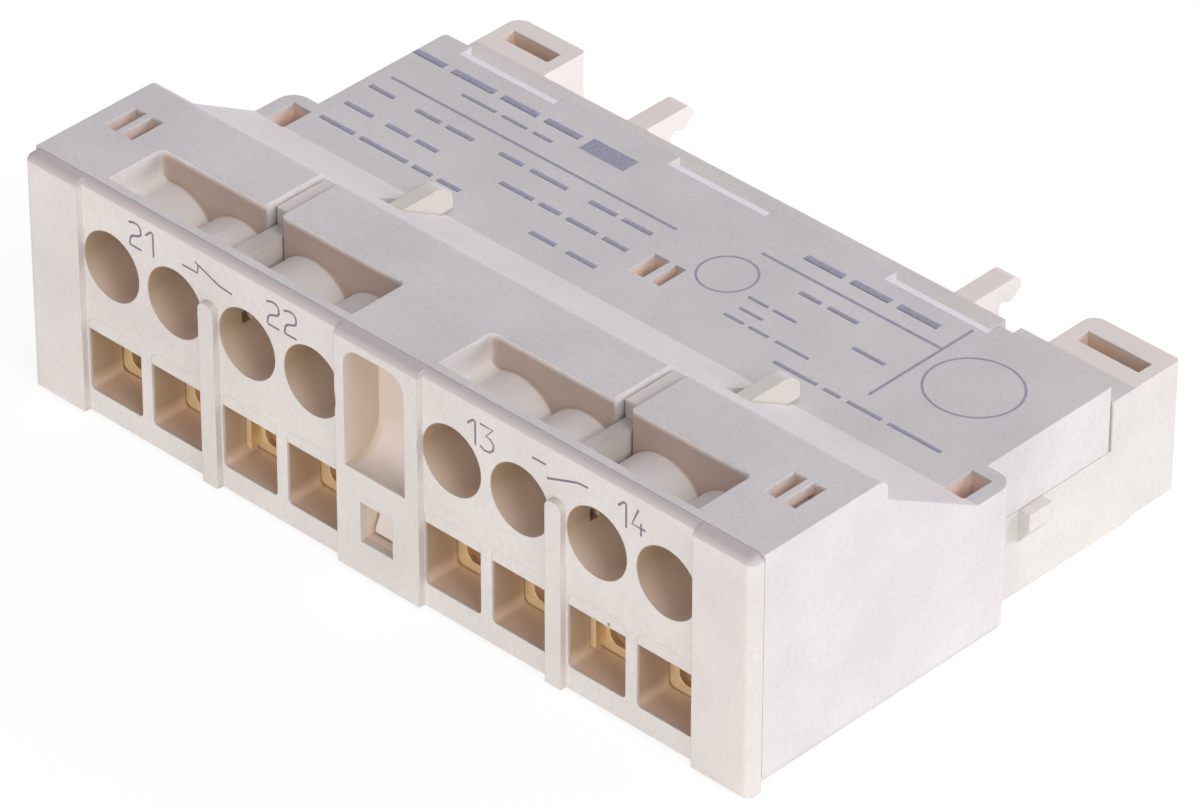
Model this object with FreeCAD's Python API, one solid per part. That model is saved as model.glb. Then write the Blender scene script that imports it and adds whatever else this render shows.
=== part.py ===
import FreeCAD, Part
import os
import math

V = FreeCAD.Vector

# All sizes are in millimetres, x along the terminals, y to the rear, z up

# Clearances
SEAM = 0.04            # between two mouldings
SEAT = 0.02            # between a metal piece and what it lies on
RUN = 0.07             # each side of a moving piece
TOUCH = 0.05           # left between two faces that meet at a stop
ROOM = 0.2             # free space around a piece that must not be touched
RIM_GAP = 0.02         # seam that shows around the front plate
OVER = 1.0             # how far a cutting shape runs past the surface

# Walls
WALL = 1.2
FLOOR_T = 1.0
EDGE_R = 0.25          # small outer roundings

# Terminal face
HOLE_R = 1.8           # release holes at the face
HOLE_TAPER = 0.04      # loss of radius per millimetre of depth
HOLE_WEB = 0.51        # between the two holes of one terminal
RIB_WEB = 0.96         # between the holes of two terminals
POLE_WEB = 4.96        # between the holes of the two poles
END_LAND = 3.39        # from the outermost hole to the end of the block
ENTRY_WEB = 0.68       # between two wire entries
ENTRY_SILL = 0.2       # sill of the wire entries above the floor
ENTRY_H = 3.28
LAND = 2.32            # between wire entries and release holes
TOP_LAND = 2.1         # from the release holes to the top

# Front plate
PLATE_T = 0.76
SPIGOT_T = 0.44
SLEEVE_T = 0.3         # around the release holes
SLEEVE_L = 2.8
CORNER_R = 0.4
TOP_R = 0.38           # top front edge
PANEL_RECESS = 0.35
RIB_W = 0.95
RIB_TOP = 1.2          # top of the front ribs above the centre of the holes
BRIDGE_HALF = 2.54     # proud strip in the middle
END_PAD = 3.4          # proud pads at both ends
SCOOP_W = 3.7
SCOOP_SHIFT = -0.13
SCOOP_DEPTH = 2.15
SCOOP_RISE = 1.0       # lowest point of the scoop above the wire entries
SCOOP_SKIN = 0.5
SCOOP_R = 0.95         # upper corners
ENTRY_STEP = 0.05      # shallow field above each wire entry
ENTRY_STEP_H = 0.72
ENTRY_STEP_R = 0.5
SNAP_HOLE_W = 2.0
SNAP_HOLE_SHIFT = -0.08
SNAP_HOLE_H = 2.12
SNAP_HOLE_RISE = 0.78  # above the floor

# Latch arms of the front plate
ARM_T = 0.88
ARM_SHIFT = -0.22
ARM_SLOT = 0.11        # play each side in the housing slot
ARM_LOW = 1.15         # underside above the centre of the holes
ARM_MID = 1.52         # height between the top windows
ARM_STEP = 0.93        # extra height in the groove
ARM_STEP_Y = 0.57      # behind the top windows
TONGUE_STEP = 0.6
TONGUE_T = 0.85
TONGUE_H = 1.4
TONGUE_REACH = 0.58    # past the foot of the slope
TONGUE_NOSE = 1.25

# Tunnel block and top windows
FUNNEL_T = 1.1
WINDOW_L = 3.36
WINDOW_END = 0.94      # past the centre of the outermost hole
WINDOW_MID = 1.63      # past the centre of the innermost hole
WINDOW_R = 0.4         # rear corners
HUMP_SKIN = 0.6
COVE_R = 0.5           # between the end walls and the humps
TUNNEL_SKIN = 0.8

# Snap windows
TOP_SNAP_W = 1.8
TOP_SNAP_L = 1.96
TOP_SNAP_IN = 2.05     # centre of the top snap window from the end of the block
TOP_SNAP_SHIFT = -0.2
TOP_SNAP_Y = 5.05
FLANGE_SNAP_W = 1.15
FLANGE_SNAP_L = 1.95
FLANGE_SNAP_IN = 1.33
REAR_SNAP_W = 1.88
REAR_SNAP_L = 1.75
REAR_SNAP_Y = 1.0      # behind the end walls
REAR_BAR_SHIFT = 0.13
BAR_T = 0.36           # ribs across the snap windows
SNAP_BAR_H = 0.6

# Block shell and cover
TOP_L = 8.42           # depth of the flat top from the face
TOP_DROP = 1.12
STEP_R = 0.6
SLOPE_DEG = 30.0
FLANGE_L = 2.45
FLANGE_DROP = 4.5      # from the block top down to the flange and cover
COVER_IN = 1.65        # cover side inside the block end
SIDE_DROP = 3.5        # height of the cover side walls
BEVEL = 0.5            # three bevels on the rear edge of the cover
BEVEL_W = 6.1
BEVEL_SPACING = 13.35
BEVEL_SHIFT = -2.5

# Clamp springs
CLAMP_T = 0.32
CLAMP_SPACE = 0.61     # between two clamps
CLAMP_BAR = 0.6
CLAMP_BOTTOM_BAR = 0.45
CLAMP_BEND = 0.5
CLAMP_LOOP = 2.6
CLAMP_RISE = 2.24

# Terminal strips
STRIP_T = 0.5
WIRE_ROOM = 1.6        # between clamp bar and strip
FINGER_PLAY = 0.15
STRIP_EDGE = 1.25      # past the centres of its two clamps
TAIL_W = 1.6
TAB_W = 2.4
TAB_DROP = 2.2
TAB_BEND = 0.35

# Contacts
TIP_R = 0.7
TIP_T = 0.4
TIP_X = 4.0            # from the middle of the pole
BRIDGE_T = 0.5
BRIDGE_END = 1.2       # past the contact centre
BRIDGE_H = 2.0
NECK_H = 1.5
NECK_PLAY = 0.15

# Sliders
STROKE = 1.5
BRIDGE_TRAVEL = 0.6
SLIDER_W = 3.2
SLIDER_WEB = 0.45
SLIDER_LIFT = 0.15
PLUNGER_W = 2.6
PLUNGER_H = 2.1
PLUNGER_SPARE = 0.4    # still out of the wall when pushed in
SLIDER_HEAD = 1.5      # in front of the closed pole's window
SLIDER_TAIL = 3.74     # behind the open pole's window
PIN_R = 0.5
PIN_IN = 0.5

# Springs
RETURN_L = 3.6
RETURN_R = 0.85
RETURN_WIRE = 0.24
RETURN_TURNS = 4
PRESS_L = 2.3
PRESS_R = 0.62
PRESS_WIRE = 0.18
PRESS_TURNS = 4
COIL_STEPS = 10        # rings for each turn
PEG_R = 0.42
PEG_L = 0.7

# Base, lugs and hooks
CROSS_T = 1.0
CROSS_RISE = 0.8       # cross wall above the strips
REAR_T = 1.5
LEDGE_DROP = 0.9       # rear ledge below the cover top
LEDGE_GAP = 0.93       # between the ledge and the stub at the right lug
LUG_REACH = 3.03
LUG_STEP = 0.13        # left lug is shorter
RIGHT_LUG_W = 5.1
LEFT_LUG_W = 4.4
LEFT_LUG_IN = 0.45
LUG_SLOT = 0.9
LUG_SLOT_BACK = 1.15
LUG_SLOT_SIDE = 0.7
LUG_R = 0.7
STUB_W = 1.6
HOOK_SPACING = 20.23
HOOK_SHIFT = 0.38
HOOK_T = 1.2
HOOK_REACH = 3.2
HOOK_NOSE = 0.6
HOOK_LIP = 0.16
HOOK_H = 0.93
HOOK_WEB_L = 1.7
HOOK_WEB_H = 2.4
NOSE_Y = 3.0           # side nose behind the end walls
NOSE_L = 1.5
NOSE_OUT = 0.6
NOSE_H = 1.8
RAIL_T = 0.6
RAIL_H = 2.2

# Places that follow from the sizes, across
PITCH = 2 * HOLE_R + HOLE_WEB
PAIR = 2 * HOLE_R + RIB_WEB
INNER_X = HOLE_R + POLE_WEB / 2
POLE_X = INNER_X + PITCH + PAIR / 2
OUTER_X = POLE_X + PAIR / 2 + PITCH
HALF_W = OUTER_X + HOLE_R + END_LAND
INSIDE = HALF_W - WALL
COVER_HALF = HALF_W - COVER_IN
COVER_INSIDE = COVER_HALF - WALL
ENTRY_W = PITCH - ENTRY_WEB
CLAMP_W = PITCH - CLAMP_SPACE

# Places that follow from the sizes, upwards
ENTRY_Z = FLOOR_T + ENTRY_SILL
ENTRY_TOP = ENTRY_Z + ENTRY_H
HOLE_Z = ENTRY_TOP + LAND + HOLE_R
HEIGHT = HOLE_Z + HOLE_R + TOP_LAND
TUNNEL_Z = HOLE_Z - HOLE_R - TUNNEL_SKIN
TOP_IN = HEIGHT - WALL
SPIGOT_TOP = HOLE_Z + HOLE_R + ROOM
FLANGE_Z = HEIGHT - FLANGE_DROP
FLANGE_IN = FLANGE_Z - WALL
SIDE_Z = FLANGE_Z - SIDE_DROP
LEDGE_Z = FLANGE_Z - LEDGE_DROP
SLOPE_Z = HEIGHT - TOP_DROP
LEG_Z = ENTRY_Z + SEAM
STRIP_Z = LEG_Z + CLAMP_BOTTOM_BAR + WIRE_ROOM
STRIP_TOP = STRIP_Z + STRIP_T
MECH_Z = STRIP_TOP - TAB_BEND - STRIP_T / 2 - TIP_R - TOUCH
WINDOW_H = NECK_H + 2 * TOUCH
SLIDER_H = WINDOW_H + 2 * SLIDER_WEB
ARM_Z = HOLE_Z + ARM_LOW
ARM_TOP = ARM_Z + ARM_MID
GROOVE_TOP = ARM_TOP + ARM_STEP
TONGUE_Z = FLANGE_Z + ROOM
TONGUE_TOP = TONGUE_Z + TONGUE_H

# Places that follow from the sizes, from front to rear
RIM_Y = PLATE_T + RIM_GAP
TUNNEL_Y = PLATE_T + SPIGOT_T + SEAM
FUNNEL_BACK = TUNNEL_Y + FUNNEL_T
WINDOW_BACK = TUNNEL_Y + WINDOW_L
TUNNEL_BACK = WINDOW_BACK + WALL
SLEEVE_Y = PLATE_T + SLEEVE_L
LEG_Y = FUNNEL_BACK + SEAM + SEAT + CLAMP_T / 2
LOOP_Y = TUNNEL_BACK + ROOM + CLAMP_BEND
LOOP_END = LOOP_Y + CLAMP_LOOP
LOOP_BACK = LOOP_END + CLAMP_T / 2
PLATE_END = LOOP_END - 2 * CLAMP_BEND
CROSS_Y = LOOP_BACK + ROOM + STROKE - (CROSS_T - PIN_IN)
CROSS_BACK = CROSS_Y + CROSS_T
SLIDER_Y = CROSS_BACK + RETURN_L
SLOPE_RUN = (SLOPE_Z - FLANGE_Z) / math.tan(math.radians(SLOPE_DEG))
SLOPE_FOOT = TOP_L + SLOPE_RUN
BLOCK_BACK = SLOPE_FOOT + FLANGE_L
NO_TAB = SLIDER_Y + ROOM + TAB_BEND + TOUCH
NO_BRIDGE = NO_TAB + STRIP_T + TIP_T + STROKE + TOUCH + TIP_T
NO_SPRING = NO_BRIDGE + BRIDGE_T
NC_WINDOW = SLIDER_Y + SLIDER_HEAD
NC_BRIDGE = NC_WINDOW + PRESS_L
NC_TAB = NC_BRIDGE + BRIDGE_T + TIP_T + TOUCH + TIP_T
SLIDER_BACK = NO_SPRING + PRESS_L + SLIDER_TAIL
REAR_Y = SLIDER_BACK + TOUCH
REAR_BACK = REAR_Y + REAR_T
COVER_BACK = REAR_Y - SEAM
DEPTH = REAR_BACK + HOOK_REACH
PLUNGER_OUT = STROKE + PLUNGER_SPARE
RAIL_Y = NO_SPRING + BRIDGE_TRAVEL + ROOM


def box(x0, x1, y0, y1, z0, z1):
    return Part.makeBox(x1 - x0, y1 - y0, z1 - z0, V(x0, y0, z0))


def slab(points, x0, x1):
    # outline in the y-z plane, drawn out along x
    ring = [V(x0, y, z) for y, z in points]
    return Part.Face(Part.makePolygon(ring + ring[:1])).extrude(V(x1 - x0, 0, 0))


def tilt(points, y0, y1):
    # outline in the x-z plane, drawn out along y
    ring = [V(x, y0, z) for x, z in points]
    return Part.Face(Part.makePolygon(ring + ring[:1])).extrude(V(0, y1 - y0, 0))


def rod(x, z, radius, y0, y1):
    return Part.makeCylinder(radius, y1 - y0, V(x, y0, z), V(0, 1, 0))


def bore(x, z, y0, y1):
    start = HOLE_R - HOLE_TAPER * y0
    end = HOLE_R - HOLE_TAPER * y1
    return Part.makeCone(start, end, y1 - y0, V(x, y0, z), V(0, 1, 0))


def soften(shape, radius, axis, pick):
    # round the straight edges along one axis that the pick names
    edges = []
    for edge in shape.Edges:
        if len(edge.Vertexes) == 2:
            span = edge.Vertexes[1].Point.sub(edge.Vertexes[0].Point)
            if abs(abs(getattr(span, axis)) - edge.Length) < 1e-6 and pick(edge.CenterOfMass):
                edges.append(edge)
    return shape.makeFillet(radius, edges)


def ribbon(points, bend, thick, x0, x1):
    # strip of even thickness along a bent centre line in the y-z plane
    line = [V(0, y, z) for y, z in points]
    ways = [(b.sub(a)).normalize() for a, b in zip(line, line[1:])]
    sides = [V(0, -w.z, w.y) for w in ways]
    half = thick / 2
    left, right = [], []
    start = {1: line[0].add(sides[0] * half), -1: line[0].sub(sides[0] * half)}
    for i in range(1, len(line) - 1):
        turn = ways[i - 1].y * ways[i].z - ways[i - 1].z * ways[i].y
        sign = 1 if turn > 0 else -1
        cosine = ways[i - 1].dot(ways[i])
        reach = bend * math.tan(math.acos(max(-1.0, min(1.0, cosine))) / 2)
        centre = line[i].sub(ways[i - 1] * reach).add(sides[i - 1] * (sign * bend))
        middle = sides[i - 1].add(sides[i]).normalize()
        for side, run in ((1, left), (-1, right)):
            radius = bend - side * sign * half
            first = centre.sub(sides[i - 1] * (sign * radius))
            mid = centre.sub(middle * (sign * radius))
            last = centre.sub(sides[i] * (sign * radius))
            run.append(Part.LineSegment(start[side], first).toShape())
            run.append(Part.Arc(first, mid, last).toShape())
            start[side] = last
    end = {1: line[-1].add(sides[-1] * half), -1: line[-1].sub(sides[-1] * half)}
    left.append(Part.LineSegment(start[1], end[1]).toShape())
    right.append(Part.LineSegment(start[-1], end[-1]).toShape())
    first = {1: line[0].add(sides[0] * half), -1: line[0].sub(sides[0] * half)}
    caps = [Part.LineSegment(first[1], first[-1]).toShape()]
    caps.append(Part.LineSegment(end[1], end[-1]).toShape())
    wire = Part.Wire(Part.__sortEdges__(left + right + caps))
    face = Part.Face(wire)
    face.translate(V(x0, 0, 0))
    return face.extrude(V(x1 - x0, 0, 0))


def coil(x, z, y0, length, radius, wire, turns):
    # round wire as a row of six-sided rings along the helix
    rings = []
    count = turns * COIL_STEPS
    rise = (length - wire) / count
    lean = math.atan2(rise * COIL_STEPS, 2 * math.pi * radius)
    for i in range(count + 1):
        angle = 2 * math.pi * i / COIL_STEPS
        out = V(math.cos(angle), 0, math.sin(angle))
        along = V(-out.z * math.cos(lean), math.sin(lean), out.x * math.cos(lean))
        up = out.cross(along)
        middle = V(x, y0 + wire / 2 + i * rise, z).add(out * radius)
        ring = []
        for side in range(7):
            turn = math.radians(60 * side)
            ring.append(middle.add((out * math.cos(turn)).add(up * math.sin(turn)) * (wire / 2)))
        rings.append(Part.makePolygon(ring))
    return Part.makeLoft(rings, True, True)


def join(shapes):
    return shapes[0].fuse(shapes[1:]).removeSplitter()


def save(name, shape):
    shape.translate(V(0, -DEPTH / 2, 0))
    shape.exportStep("parts/" + name + ".step")


def pole_holes(pole):
    # centres of the four holes of one pole, from left to right
    near = PAIR / 2
    return [pole * POLE_X + d for d in (-near - PITCH, -near, near, near + PITCH)]


def slope_at(y):
    return SLOPE_Z - (y - TOP_L) * math.tan(math.radians(SLOPE_DEG))


def entry(x, y0, y1):
    tool = box(x - ENTRY_W / 2, x + ENTRY_W / 2, y0, y1, ENTRY_Z, ENTRY_TOP)
    return soften(tool, EDGE_R, "y", lambda p: p.z < ENTRY_Z + 0.1)


def entry_step(x):
    half = ENTRY_W / 2
    high = ENTRY_TOP + ENTRY_STEP_H
    tool = box(x - half, x + half, 0, PANEL_RECESS + ENTRY_STEP, ENTRY_TOP - OVER, high)
    return soften(tool, ENTRY_STEP_R, "y", lambda p: p.z > high - 0.1)


def scoop(grow, y0):
    # hollow for a finger in the middle of the front plate
    x0 = SCOOP_SHIFT - SCOOP_W / 2 - grow
    x1 = SCOOP_SHIFT + SCOOP_W / 2 + grow
    low = ENTRY_TOP + SCOOP_RISE - grow
    high = HEIGHT - 2 * EDGE_R - ROOM - SEAT + grow * ROOM / SCOOP_SKIN
    deep = SCOOP_DEPTH + grow
    round_r = 0.8 * SCOOP_DEPTH
    tool = box(x0, x1, y0, deep, low, high)
    tool = soften(tool, round_r, "x", lambda p: p.y > deep - 0.1 and p.z < low + 0.1)
    return soften(tool, SCOOP_R, "y", lambda p: p.z > high - 0.1)


def hole_notch(pole):
    # small recess in the left side of the third release hole
    x = pole_holes(pole)[2] - HOLE_R
    y = FUNNEL_BACK - WALL / 2
    return box(x - ROOM - SLEEVE_T, x + ROOM, y, y + 2 * EDGE_R, HOLE_Z - 2 * ROOM, HOLE_Z + ROOM)


def latch_arm(pole):
    x = pole * POLE_X + ARM_SHIFT
    a, b = x - ARM_T / 2, x + ARM_T / 2
    c = x + TONGUE_STEP - TONGUE_T / 2
    d = x + TONGUE_STEP + TONGUE_T / 2
    back = TOP_L - ROOM
    tip = SLOPE_FOOT + TONGUE_REACH
    step = WINDOW_BACK + ARM_STEP_Y
    front = box(a, b, PLATE_T - SEAM, step, ARM_Z, ARM_TOP)
    groove = box(a, b, step, back, ARM_Z, GROOVE_TOP)
    drop = box(a, d, back - ARM_T, back, TONGUE_Z, TONGUE_TOP)
    post = box(a, b, back - ARM_T, back, TONGUE_Z, ARM_Z)
    tongue = box(c, d, back - ARM_T, tip, TONGUE_Z, TONGUE_TOP)
    tongue = soften(tongue, TONGUE_NOSE, "x", lambda p: p.y > tip - 0.1 and p.z > TONGUE_TOP - 0.1)
    plan = box(c, d, back - 2 * ARM_T, tip, 0, HEIGHT)
    plan = soften(plan, 0.35 * TONGUE_T, "z", lambda p: p.y > tip - 0.1)
    return [front, groove, drop, post, tongue.common(plan)]


def front_plate():
    skin = box(-HALF_W, HALF_W, 0, PLATE_T, 0, HEIGHT)
    skin = soften(skin, TOP_R, "x", lambda p: p.y < 0.1 and p.z > 1)
    skin = soften(skin, CORNER_R, "z", lambda p: p.y < 0.1)
    half = INSIDE - SEAM
    parts = [skin, box(-half, half, 0.5 * PLATE_T, PLATE_T + SPIGOT_T, 0, SPIGOT_TOP)]
    parts.append(box(-half, half, 0.5 * PLATE_T, FUNNEL_BACK, 0, TUNNEL_Z - SEAM))
    for pole in (-1, 1):
        for x in pole_holes(pole):
            parts.append(rod(x, HOLE_Z, HOLE_R + SLEEVE_T, 0.5 * PLATE_T, SLEEVE_Y))
    body = join(parts)
    rib_top = HOLE_Z + RIB_TOP
    for side in (-1, 1):
        x0, x1 = sorted((side * BRIDGE_HALF, side * (HALF_W - END_PAD)))
        panel = box(x0, x1, -OVER, PLATE_T, -OVER, HEIGHT + OVER)
        kept = box(x0, x1, PANEL_RECESS, 2 * PLATE_T, -OVER, HEIGHT)
        kept = soften(kept, TOP_R, "x", lambda p: p.y < PLATE_T and p.z > 1)
        x = side * POLE_X
        rib = box(x - RIB_W / 2, x + RIB_W / 2, -2, 1, -2, rib_top)
        rib = soften(rib, 0.45 * RIB_W, "y", lambda p: p.z > rib_top - 0.1)
        body = body.cut(panel.cut([kept, rib]))
    body = join([body, scoop(SCOOP_SKIN, 0.5 * PLATE_T)])
    tools = [scoop(0, -1)]
    x = SNAP_HOLE_SHIFT
    z = FLOOR_T + SNAP_HOLE_RISE
    tools.append(box(x - SNAP_HOLE_W / 2, x + SNAP_HOLE_W / 2, -1, FUNNEL_BACK + 1, z, z + SNAP_HOLE_H))
    for pole in (-1, 1):
        tools.append(hole_notch(pole))
        for x in pole_holes(pole):
            tools.append(bore(x, HOLE_Z, -0.1, SLEEVE_Y + 1))
            tools.append(entry(x, -1, FUNNEL_BACK + 1))
            tools.append(entry_step(x))
    body = body.cut(tools)
    parts = [body]
    for pole in (-1, 1):
        parts += latch_arm(pole)
        parts.append(snap_arm(pole))
    return join(parts)


def snap_arm(side):
    # bar with a raised end that shows in the top snap window
    x = snap_x(side)
    low = TOP_IN - WALL
    y1 = TOP_SNAP_Y + TOP_SNAP_L / 2 - ROOM
    y0 = TOP_SNAP_Y - TOP_SNAP_L / 2 + ROOM
    top = TOP_IN - SEAM
    tip = HEIGHT - SNAP_BAR_H - ROOM
    outline = [(0.5 * PLATE_T, low), (y1, low), (y1, tip), (y0 + ROOM, tip), (y0, top)]
    half = TOP_SNAP_W / 2 - ROOM
    return slab(outline + [(0.5 * PLATE_T, top)], x - half, x + half)


def snap_x(side):
    return side * (HALF_W - TOP_SNAP_IN) + TOP_SNAP_SHIFT


def inner_slope_y(z):
    # where the underside of the slope has the height z
    wall = WALL / math.cos(math.radians(SLOPE_DEG))
    return SLOPE_FOOT - (z + wall - FLANGE_Z) / math.tan(math.radians(SLOPE_DEG))


def upper_housing():
    outline = [(RIM_Y, 0), (BLOCK_BACK, 0), (BLOCK_BACK, FLANGE_Z), (SLOPE_FOOT, FLANGE_Z)]
    outline += [(TOP_L, SLOPE_Z), (TOP_L, HEIGHT), (RIM_Y, HEIGHT)]
    shell = slab(outline, -HALF_W, HALF_W)
    shell = soften(shell, STEP_R, "x", lambda p: p.y > TOP_L - 0.1 and p.z > HEIGHT - 0.1)
    shell = soften(shell, 2 * EDGE_R, "x", lambda p: p.y > BLOCK_BACK - 0.1 and p.z < 0.1)
    shell = soften(shell, WALL * 0.8, "z", lambda p: p.y > BLOCK_BACK - 0.1)
    cover = box(-COVER_HALF, COVER_HALF, BLOCK_BACK - WALL, COVER_BACK, SIDE_Z, FLANGE_Z)
    cover = soften(cover, EDGE_R, "z", lambda p: p.y > COVER_BACK - 0.1)
    body = join([shell, cover])

    # room behind the tunnel block, under the slope and under the cover
    wall_y = BLOCK_BACK - WALL
    room = [(FUNNEL_BACK, -1), (wall_y, -1), (wall_y, FLANGE_IN), (inner_slope_y(FLANGE_IN), FLANGE_IN)]
    room += [(inner_slope_y(TOP_IN), TOP_IN), (FUNNEL_BACK, TOP_IN)]
    block = box(-HALF_W, HALF_W, 0, TUNNEL_BACK, TUNNEL_Z, HEIGHT)
    tools = [slab(room, -INSIDE, INSIDE).cut(block)]
    tools.append(box(-COVER_INSIDE, COVER_INSIDE, wall_y - 1, COVER_BACK - WALL, -1, FLANGE_IN))
    tools.append(box(-COVER_HALF - SEAM, COVER_HALF + SEAM, wall_y - 1, BLOCK_BACK + 1, -1, SIDE_Z))
    tools.append(box(-INSIDE, INSIDE, RIM_Y - 1, TUNNEL_BACK + 1, -1, TUNNEL_Z))
    tools.append(box(-INSIDE, INSIDE, RIM_Y - 1, TUNNEL_Y, -1, SPIGOT_TOP + SEAM))
    body = body.cut(tools)

    # walls between the clamp rooms
    walls = [body]
    y = FUNNEL_BACK + WALL + SEAM
    walls.append(box(-WALL / 2, WALL / 2, y, LOOP_BACK, FLOOR_T + SEAM, TUNNEL_Z + SEAM))
    half = CLAMP_SPACE / 2
    for x in (-POLE_X, POLE_X):
        walls.append(box(x - half, x + half, FUNNEL_BACK + SEAM, LOOP_BACK, FLOOR_T + SEAM, TUNNEL_Z + SEAM))
    for pole in (-1, 1):
        x = pole * POLE_X
        y = COVER_BACK - WALL
        walls.append(box(x - WALL / 2, x + WALL / 2, y - WALL, y + SEAM, MECH_Z + SLIDER_H / 2 + RUN, FLANGE_IN + SEAM))
    body = join(walls)

    tools = [scoop(SCOOP_SKIN + SEAM, RIM_Y - 1)]
    for pole in (-1, 1):
        holes = pole_holes(pole)
        tools.append(hole_notch(pole))
        for x in holes:
            tools.append(bore(x, HOLE_Z, RIM_Y, TUNNEL_BACK + 1))
            tools.append(rod(x, HOLE_Z, HOLE_R + SLEEVE_T + SEAM, RIM_Y - 1, SLEEVE_Y + SEAM))
        ends = (WINDOW_END, WINDOW_MID) if pole < 0 else (WINDOW_MID, WINDOW_END)
        pocket = box(holes[0] - ends[0], holes[3] + ends[1], TUNNEL_Y, WINDOW_BACK, HOLE_Z, HEIGHT + 1)
        pocket = soften(pocket, WINDOW_R, "z", lambda p: p.y > WINDOW_BACK - 0.1)
        skin = HOLE_R + HUMP_SKIN
        humps = [rod(x, HOLE_Z, skin, 0, TUNNEL_BACK) for x in holes]
        humps += [cove(holes[0], ends[0], -1), cove(holes[3], ends[1], 1)]
        floor = box(holes[0] - skin, holes[3] + skin, 0, TUNNEL_BACK, 0, HOLE_Z + 0.5 * HOLE_R)
        tools.append(pocket.cut(humps + [floor]))
        tools += arm_slot(pole)
        tools += snap_windows(pole)
    y = BLOCK_BACK + REAR_SNAP_Y
    y0, y1 = y - REAR_SNAP_L / 2, y + REAR_SNAP_L / 2
    half = REAR_SNAP_W / 2
    a, b = REAR_BAR_SHIFT - BAR_T / 2, REAR_BAR_SHIFT + BAR_T / 2
    for x0, x1 in ((-half, a), (b, half)):
        tools.append(box(x0, x1, y0, y1, FLANGE_IN - 1, HEIGHT))
    for step in (-1, 0, 1):
        x = BEVEL_SHIFT + step * BEVEL_SPACING
        rise = [(COVER_BACK - BEVEL, FLANGE_Z + 1), (COVER_BACK + 1, FLANGE_Z + 1)]
        rise += [(COVER_BACK + 1, FLANGE_Z - BEVEL), (COVER_BACK, FLANGE_Z - BEVEL)]
        tools.append(slab(rise + [(COVER_BACK - BEVEL, FLANGE_Z)], x - BEVEL_W / 2, x + BEVEL_W / 2))
    return body.cut(tools)


def cove(x, reach, side):
    # hollow rounding that leads from a hump up to the end wall of its window
    wall = x + side * reach
    middle = wall - side * COVE_R
    skin = HOLE_R + HUMP_SKIN
    high = HOLE_Z + math.sqrt((skin + COVE_R) ** 2 - (middle - x) ** 2)
    meet = x + (middle - x) * skin / (skin + COVE_R)
    a, b = sorted((meet, wall + side * COVE_R))
    fill = box(a, b, 0, TUNNEL_BACK, HOLE_Z, high)
    return fill.cut(rod(middle, high, COVE_R, -OVER, TUNNEL_BACK + OVER))


def arm_slot(pole):
    x = pole * POLE_X + ARM_SHIFT
    a = x - ARM_T / 2 - ARM_SLOT
    b = x + ARM_T / 2 + ARM_SLOT
    d = x + TONGUE_STEP + TONGUE_T / 2 + ARM_SLOT
    upper = box(a, b, RIM_Y - 1, TOP_L, ARM_Z - SEAM, HEIGHT + 1)
    rim = box(a - OVER, b + OVER, RIM_Y - 2 * OVER, TUNNEL_Y, GROOVE_TOP - ROOM, HEIGHT + 2 * OVER)
    lower = box(a, d, TOP_L - ARM_T - 2 * ROOM, SLOPE_FOOT, TONGUE_Z - SEAM, TONGUE_TOP + SEAM)
    return [upper.cut(rim), lower]


def snap_windows(side):
    x = snap_x(side)
    y0, y1 = TOP_SNAP_Y - TOP_SNAP_L / 2, TOP_SNAP_Y + TOP_SNAP_L / 2
    half = TOP_SNAP_W / 2
    top = box(x - half, x + half, y0, y1, TOP_IN - SEAM, HEIGHT + 1)
    top = top.cut(box(x - BAR_T / 2, x + BAR_T / 2, y0, y1, HEIGHT - SNAP_BAR_H, HEIGHT + 1))
    lane = box(x - half, x + half, RIM_Y - 1, TUNNEL_BACK + 1, TOP_IN - WALL - ROOM, TOP_IN)
    x = side * (HALF_W - FLANGE_SNAP_IN)
    half = FLANGE_SNAP_W / 2
    y = SLOPE_FOOT + FLANGE_SNAP_L / 2 - ROOM
    flange = box(x - half, x + half, y - FLANGE_SNAP_L / 2, y + FLANGE_SNAP_L / 2, FLANGE_IN - 4 * ROOM, HEIGHT)
    return [top, lane, flange]


def lug(x0, x1, end):
    body = box(x0, x1, REAR_Y, end, 0, LEDGE_Z)
    body = soften(body, LUG_R, "z", lambda p: p.y > end - 0.1 and p.x < x0 + 0.1)
    body = soften(body, EDGE_R, "z", lambda p: p.y > end - 0.1 and p.x > x1 - 0.1)
    body = soften(body, EDGE_R, "x", lambda p: p.y > end - 0.1 and p.z < 0.1)
    y = REAR_BACK + LUG_REACH - LUG_SLOT_BACK - LUG_SLOT
    slot = box(x0 + LUG_SLOT_SIDE, x1 - LUG_SLOT_SIDE, y, y + LUG_SLOT, -1, LEDGE_Z + 1)
    return body.cut(slot)


def hook(x):
    y0 = REAR_BACK - SEAM
    tip = REAR_BACK + HOOK_REACH
    low = LEDGE_Z - HOOK_H
    lip = low - HOOK_LIP
    web = REAR_BACK + HOOK_WEB_L
    outline = [(y0, LEDGE_Z - HOOK_WEB_H), (web, LEDGE_Z - HOOK_WEB_H), (web, low), (tip - 2 * HOOK_NOSE, low)]
    outline += [(tip - 1.5 * HOOK_NOSE, lip), (tip - HOOK_NOSE, lip), (tip, LEDGE_Z - HOOK_NOSE)]
    outline += [(tip, LEDGE_Z), (y0, LEDGE_Z)]
    body = slab(outline, x - HOOK_T / 2, x + HOOK_T / 2)
    body = soften(body, 0.9 * HOOK_NOSE, "x", lambda p: p.y > tip - 0.1 and p.z > LEDGE_Z - 0.1)
    return soften(body, EDGE_R, "x", lambda p: abs(p.y - web) < 0.01 and abs(p.z - low) < 0.01)


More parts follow.
